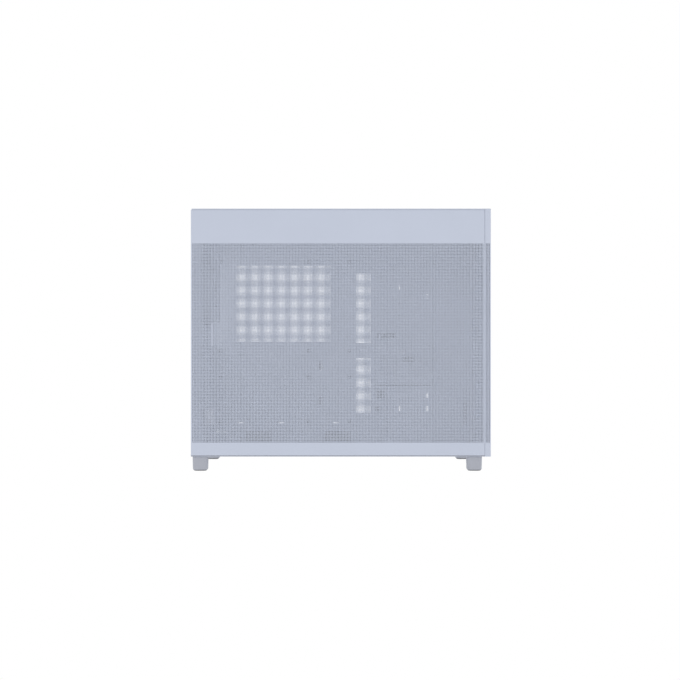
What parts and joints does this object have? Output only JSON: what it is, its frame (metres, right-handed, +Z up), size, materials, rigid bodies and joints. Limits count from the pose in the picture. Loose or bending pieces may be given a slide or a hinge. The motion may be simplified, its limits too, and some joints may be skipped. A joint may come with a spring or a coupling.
{
  "type": "desktop computer case",
  "caption": "Compact tower computer case in pale painted steel with finely perforated panels, plain bands at top and bottom, a rear fan, front connectors and short tapered feet",
  "frame": {"origin": "on the floor, under the middle of the case's outer box", "axes": "+Y to the rear, +X to the right side panel, +Z up; the front faces -Y"},
  "size_m": [0.23, 0.484, 0.4236],
  "materials": {
    "white_paint": "fine satin powder coat",
    "white_plastic": "fine moulded grain",
    "grey_plastic": "fine moulded grain",
    "black_plastic": "fine moulded grain",
    "rubber": "matt",
    "board": "solder-masked circuit board",
    "steel": "nickel plated"
  },
  "bodies": {
    "chassis": {"chassis_floor": "white_paint", "chassis_roof": "white_paint", "front_sheet": "white_paint", "rear_wall": "white_paint", "motherboard_tray": "white_paint", "drive_bracket": "white_paint", "psu_bracket": "white_paint", "filter_rail_left": "white_paint", "filter_rail_right": "white_paint", "fan_frame": "grey_plastic", "io_bracket": "black_plastic", "io_board": "board", "usb_a_socket_1": "steel", "usb_a_socket_2": "steel", "usb_c_socket": "steel", "audio_jack": "black_plastic", "ac_inlet": "black_plastic", "inlet_screw_1": "steel", "inlet_screw_2": "steel", "drive_bracket_screw": "steel", "psu_bracket_screw_1": "steel", "psu_bracket_screw_2": "steel", "slot_cover_1": "white_paint", "slot_screw_1": "steel", "slot_cover_2": "white_paint", "slot_screw_2": "steel", "slot_cover_3": "white_paint", "slot_screw_3": "steel", "slot_cover_4": "white_paint", "slot_screw_4": "steel", "slot_cover_5": "white_paint", "slot_screw_5": "steel", "slot_cover_6": "white_paint", "slot_screw_6": "steel", "slot_cover_7": "white_paint", "slot_screw_7": "steel", "fan_screw_1": "steel", "fan_screw_2": "steel", "fan_screw_3": "steel", "fan_screw_4": "steel", "foot_front_left": "grey_plastic", "foot_pad_front_left": "rubber", "foot_front_right": "grey_plastic", "foot_pad_front_right": "rubber", "foot_rear_left": "grey_plastic", "foot_pad_rear_left": "rubber", "foot_rear_right": "grey_plastic", "foot_pad_rear_right": "rubber"},
    "left_cover": {"left_side_panel": "white_paint"},
    "right_cover": {"right_side_panel": "white_paint"},
    "front_cover": {"front_panel": "white_paint"},
    "top_cover": {"top_panel": "white_paint"},
    "filter_tray": {"bottom_filter": "grey_plastic"},
    "impeller": {"fan_impeller": "grey_plastic"},
    "power_key": {"power_button": "white_plastic"},
    "reset_key": {"reset_button": "white_plastic"}
  },
  "joints": [
    {"name": "left_panel_off", "type": "slide", "parent": "chassis", "child": "left_cover", "axis": [-1, 0, 0], "range_m": [0, 0.12]},
    {"name": "right_panel_off", "type": "slide", "parent": "chassis", "child": "right_cover", "axis": [1, 0, 0], "range_m": [0, 0.12]},
    {"name": "front_panel_off", "type": "slide", "parent": "chassis", "child": "front_cover", "axis": [0, -1, 0], "range_m": [0, 0.08]},
    {"name": "top_panel_off", "type": "slide", "parent": "chassis", "child": "top_cover", "axis": [0, 0, 1], "range_m": [0, 0.08]},
    {"name": "bottom_filter_out", "type": "slide", "parent": "chassis", "child": "filter_tray", "axis": [0, 1, 0], "range_m": [0, 0.45]},
    {"name": "fan_spin", "type": "hinge", "parent": "chassis", "child": "impeller", "pos_m": [-0.036, 0.2202, 0.2993], "axis": [0, 1, 0], "continuous": true},
    {"name": "power_press", "type": "slide", "parent": "chassis", "child": "power_key", "axis": [0, 1, 0], "range_m": [0, 0.0012], "stiffness_N_per_m": 400, "springref_m": -0.001},
    {"name": "reset_press", "type": "slide", "parent": "chassis", "child": "reset_key", "axis": [0, 1, 0], "range_m": [0, 0.001], "stiffness_N_per_m": 400, "springref_m": -0.001}
  ]
}
